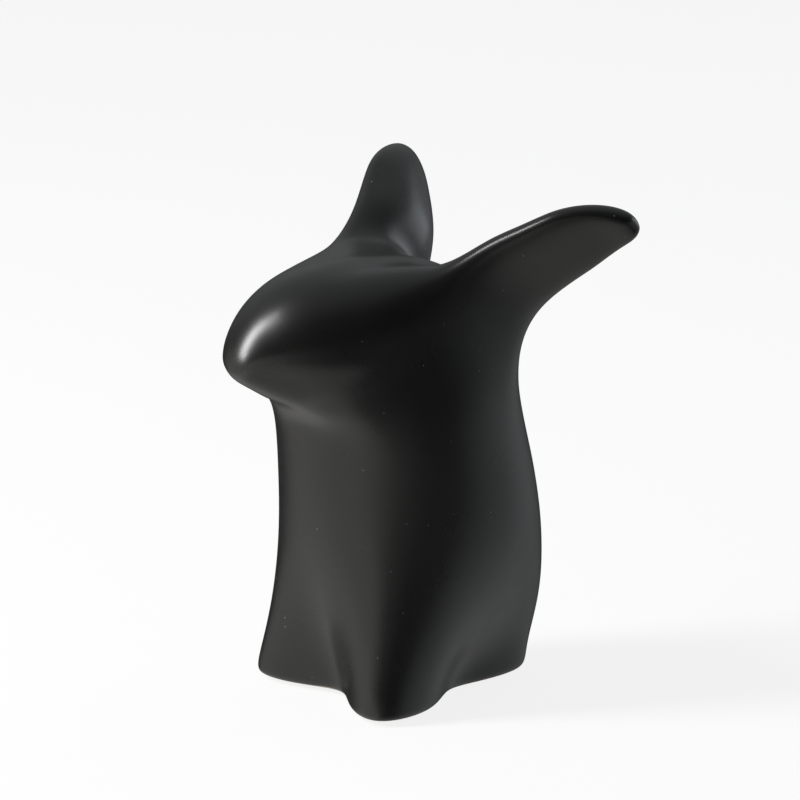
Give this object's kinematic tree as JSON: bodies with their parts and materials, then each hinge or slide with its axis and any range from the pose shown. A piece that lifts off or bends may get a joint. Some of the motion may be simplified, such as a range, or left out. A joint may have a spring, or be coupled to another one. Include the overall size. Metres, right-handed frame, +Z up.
{
  "type": "penguin figurine",
  "caption": "Hollow black glazed stoneware penguin with raised flippers, a blunt beak and a three-lobed foot on felt pads.",
  "frame": {"origin": "middle of the figure's outline seen from above, on the plane that its felt pads rest on", "axes": "+Z up, the beak points along -Y, and the penguin's left side is +X"},
  "size_m": [0.1384, 0.1264, 0.1796],
  "materials": {
    "body_glaze": "satin",
    "left_flipper_glaze": "satin",
    "right_flipper_glaze": "satin",
    "left_foot_felt": "matte felt",
    "right_foot_felt": "matte felt",
    "tail_felt": "matte felt"
  },
  "bodies": {
    "root": {"body_casting": "body_glaze", "left_flipper": "left_flipper_glaze", "right_flipper": "right_flipper_glaze", "left_foot_pad": "left_foot_felt", "right_foot_pad": "right_foot_felt", "tail_pad": "tail_felt"}
  },
  "joints": []
}
